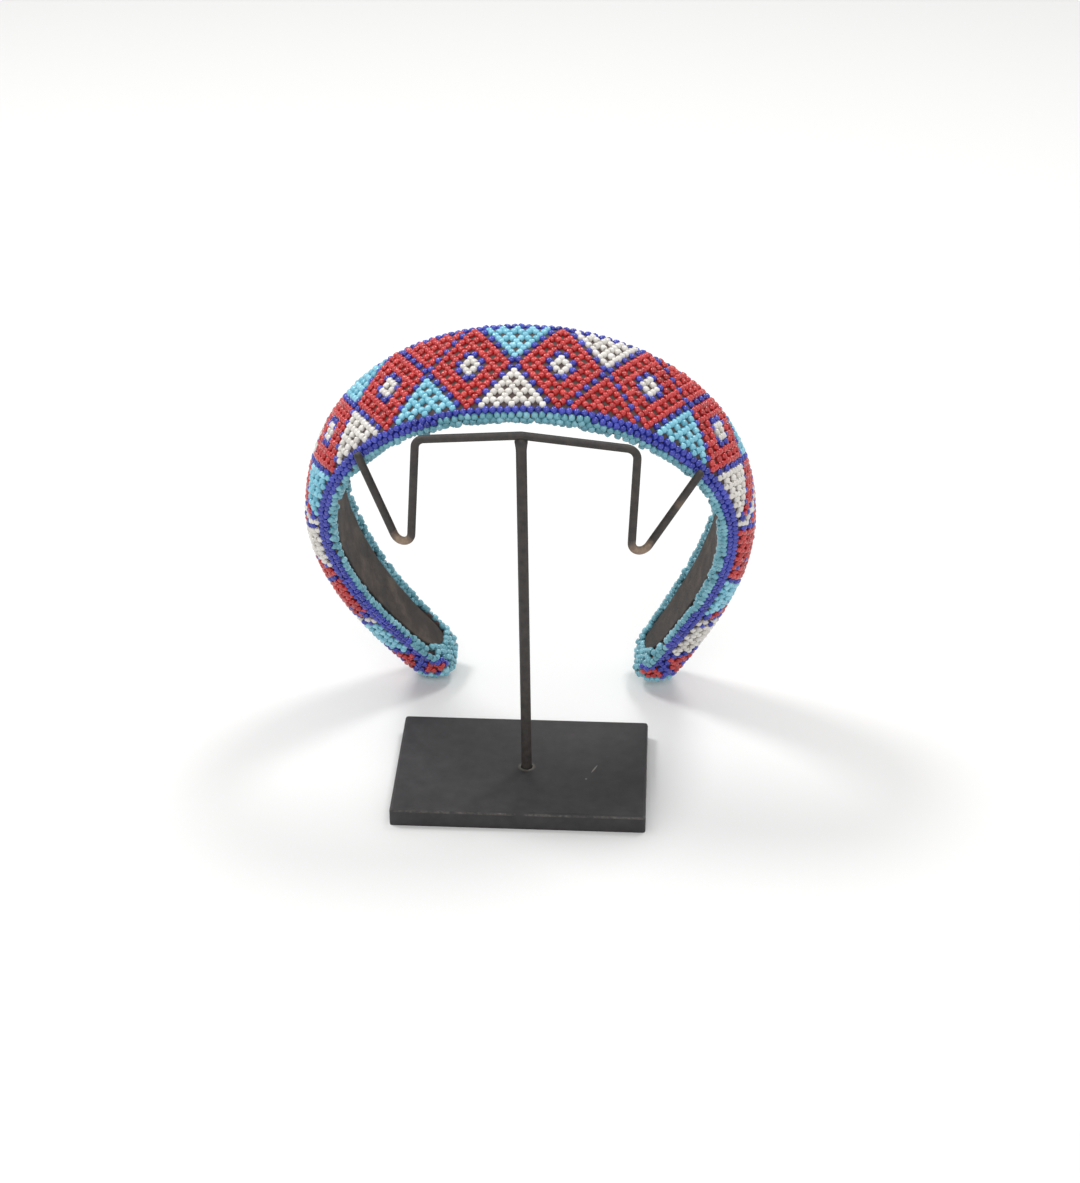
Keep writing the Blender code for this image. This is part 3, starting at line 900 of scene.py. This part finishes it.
# ---- the stand, under worn black paint --------------------------------------------------------
def swept(line, radius_at):
    """A shape for lofted: round sections along the line, twisted as little as they can be."""
    run = np.r_[0, np.cumsum(np.linalg.norm(np.diff(line, axis=0), axis=1))]
    slope = np.gradient(line, axis=0)
    slope /= np.linalg.norm(slope, axis=1)[:, None]
    side = [np.cross(slope[0], (0.0, 1.0, 0.0))]
    for step in slope:
        last = side[-1] - step * (side[-1] @ step)
        side.append(last / np.linalg.norm(last))
    side = np.array(side[1:])
    up = np.cross(slope, side)

    def shape(along, round_it):
        here = along * run[-1]
        centre, x, y = (np.stack([np.interp(here, run, table[:, k]) for k in range(3)], 1)
                        for table in (line, side, up))
        angle = 2 * math.pi * round_it[:, None]
        return centre + radius_at(here)[:, None] * (x * np.cos(angle) + y * np.sin(angle))
    return shape


WIRE_LENGTH = float(np.linalg.norm(np.diff(WIRE_LINE, axis=0), axis=1).sum())
POST_LENGTH = math.dist(POST_FOOT, POST_TOP)
FILED = 0.9  # length of the wire's rounded cut ends
# The weld's collar: distance down from the post's top, and the radius there.
COLLAR = ((0, 0.7, 1.6, 2.6, 3.8, 5.0), (1.5, 2.0, 2.15, 2.0, 1.82, POST_RADIUS))


def wire_radius(here):
    """The wire's radius, with its two cut ends filed round."""
    left = np.minimum(here, WIRE_LENGTH - here)
    return WIRE_RADIUS * (1 - 0.4 * np.clip(1 - left / FILED, 0, 1) ** 2)


def post_radius(here):
    """The post's radius, with the weld's collar just under its top."""
    return np.interp(POST_LENGTH - here, *COLLAR)


steel = painted_steel("painted_steel_wire", WIRE_PAINT, wire_marks)
add_piece("yoke_wire", lofted("yoke_wire", 560, 18, swept(WIRE_LINE, wire_radius), True), steel,
          "stand_paint", "stand_wire")
post_line = np.array([POST_FOOT, POST_TOP])
add_piece("post", lofted("post", 240, 22, swept(post_line, post_radius), True), steel,
          "stand_paint", "stand_wire")

# The plate keeps its solid.
plate_steel = painted_steel("painted_steel_plate", PLATE_PAINT, plate_marks)
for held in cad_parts["stand_plate"].material_slots:
    held.material = plate_steel


# ---- floor, light and camera ------------------------------------------------------------------
def stage_floor():
    """A plain pale floor, 8 m across."""
    bm = bmesh.new()
    bmesh.ops.create_grid(bm, x_segments=1, y_segments=1, size=4.0)
    mesh = bpy.data.meshes.new("floor")
    bm.to_mesh(mesh)
    bm.free()
    floor = bpy.data.objects.new("floor", mesh)
    bpy.context.scene.collection.objects.link(floor)
    tree, shader, made = new_material("pale_floor", Roughness=0.7)
    shader.inputs["Base Color"].default_value = linear("#e3e3e2")
    mesh.materials.append(made)


def area_light(name, place, aim, size, watts):
    """A round lamp at place, facing aim; both, and its size, are in metres."""
    light = bpy.data.lights.new(name, "AREA")
    light.shape, light.size, light.energy = "DISK", size, watts
    lamp = bpy.data.objects.new(name, light)
    lamp.location = place
    lamp.rotation_euler = (Vector(aim) - Vector(place)).to_track_quat("-Z", "Y").to_euler()
    bpy.context.scene.collection.objects.link(lamp)


stage_floor()
# Two lamps behind throw the legs' shadows to the front, as in the photo; one in front fills.
area_light("back_right", (0.36, 0.48, 1.10), (0, 0.03, 0.05), 0.32, 4.2)
area_light("back_left", (-0.61, 0.32, 1.08), (0, 0.03, 0.05), 0.32, 5.8)
area_light("front_fill", (0.1, -1.3, 1.3), (0, 0, 0.08), 1.2, 7.0)

world = bpy.data.worlds.new("studio")
bpy.context.scene.world = world
world.use_nodes = True
sky = world.node_tree.nodes["Background"]
sky.inputs["Color"].default_value = (1, 1, 1, 1)
sky.inputs["Strength"].default_value = 0.75
bpy.context.scene.view_settings.view_transform = "Standard"

# The camera as fitted to the photo: its focal length in pixels of a frame 1183 pixels high.
FOCAL_PX, FRAME_PX = 2400, 1183
SENSOR = 36.0
TARGET = Vector((6.15, 0, 75.24)) * MM
DISTANCE, ELEVATION, AZIMUTH = 780.53 * MM, math.radians(31.0), math.radians(2.96)
camera = bpy.data.cameras.new("camera")
camera.sensor_width, camera.sensor_fit = SENSOR, "AUTO"
camera.lens = FOCAL_PX * SENSOR / FRAME_PX
camera.clip_start = 0.01
eye = bpy.data.objects.new("camera", camera)
back = Vector((math.sin(AZIMUTH) * math.cos(ELEVATION), -math.cos(AZIMUTH) * math.cos(ELEVATION),
               math.sin(ELEVATION)))
eye.location = TARGET + back * DISTANCE
eye.rotation_euler = back.to_track_quat("Z", "Y").to_euler()
bpy.context.scene.collection.objects.link(eye)
bpy.context.scene.camera = eye
